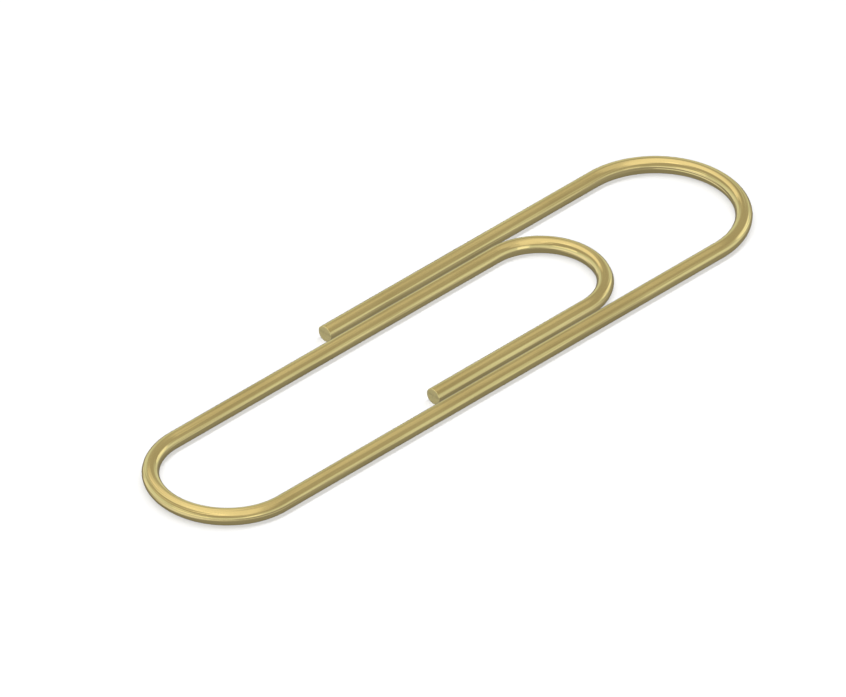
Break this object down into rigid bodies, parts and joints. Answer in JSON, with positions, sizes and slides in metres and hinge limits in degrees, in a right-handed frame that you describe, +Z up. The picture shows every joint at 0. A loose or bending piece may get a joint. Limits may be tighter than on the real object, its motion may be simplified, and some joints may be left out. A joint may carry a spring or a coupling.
{
  "type": "paper clip",
  "caption": "Flat paper clip bent from round brass wire into nested loops, with a springy inner tongue that grips sheets of paper.",
  "frame": {"origin": "under the middle of the clip, on the surface it lies on", "axes": "+Y along the clip towards the crown bend, +X across it towards the long leg, +Z up out of the surface it lies on"},
  "size_m": [0.0082, 0.034, 0.0008],
  "materials": {
    "brass_wire": "drawn wire, bright satin, as bent, with sheared ends"
  },
  "bodies": {
    "main_arm": {"crown_bend_long_side": "brass_wire", "long_leg": "brass_wire", "heel_bend_long_side": "brass_wire"},
    "outer_arm": {"outer_leg": "brass_wire", "crown_bend_outer_side": "brass_wire"},
    "inner_arm": {"heel_bend_inner_side": "brass_wire", "inner_leg": "brass_wire", "tongue_bend_inner_side": "brass_wire"},
    "tongue_arm": {"tongue_bend_free_side": "brass_wire", "tongue_leg": "brass_wire"}
  },
  "joints": [
    {"name": "heel_twist", "type": "hinge", "parent": "main_arm", "child": "inner_arm", "pos_m": [0.0005, -0.01663, 0.00038], "axis": [1, 0, 0], "range_deg": [-8, 8], "stiffness_Nm_per_rad": 0.1321},
    {"name": "crown_twist", "type": "hinge", "parent": "main_arm", "child": "outer_arm", "pos_m": [0, 0.01663, 0.00038], "axis": [-1, 0, 0], "range_deg": [-9, 9], "stiffness_Nm_per_rad": 0.1145},
    {"name": "tongue_twist", "type": "hinge", "parent": "inner_arm", "child": "tongue_arm", "pos_m": [0, 0.00863, 0.00038], "axis": [-1, 0, 0], "range_deg": [-6.5, 6.5], "stiffness_Nm_per_rad": 0.1561}
  ]
}
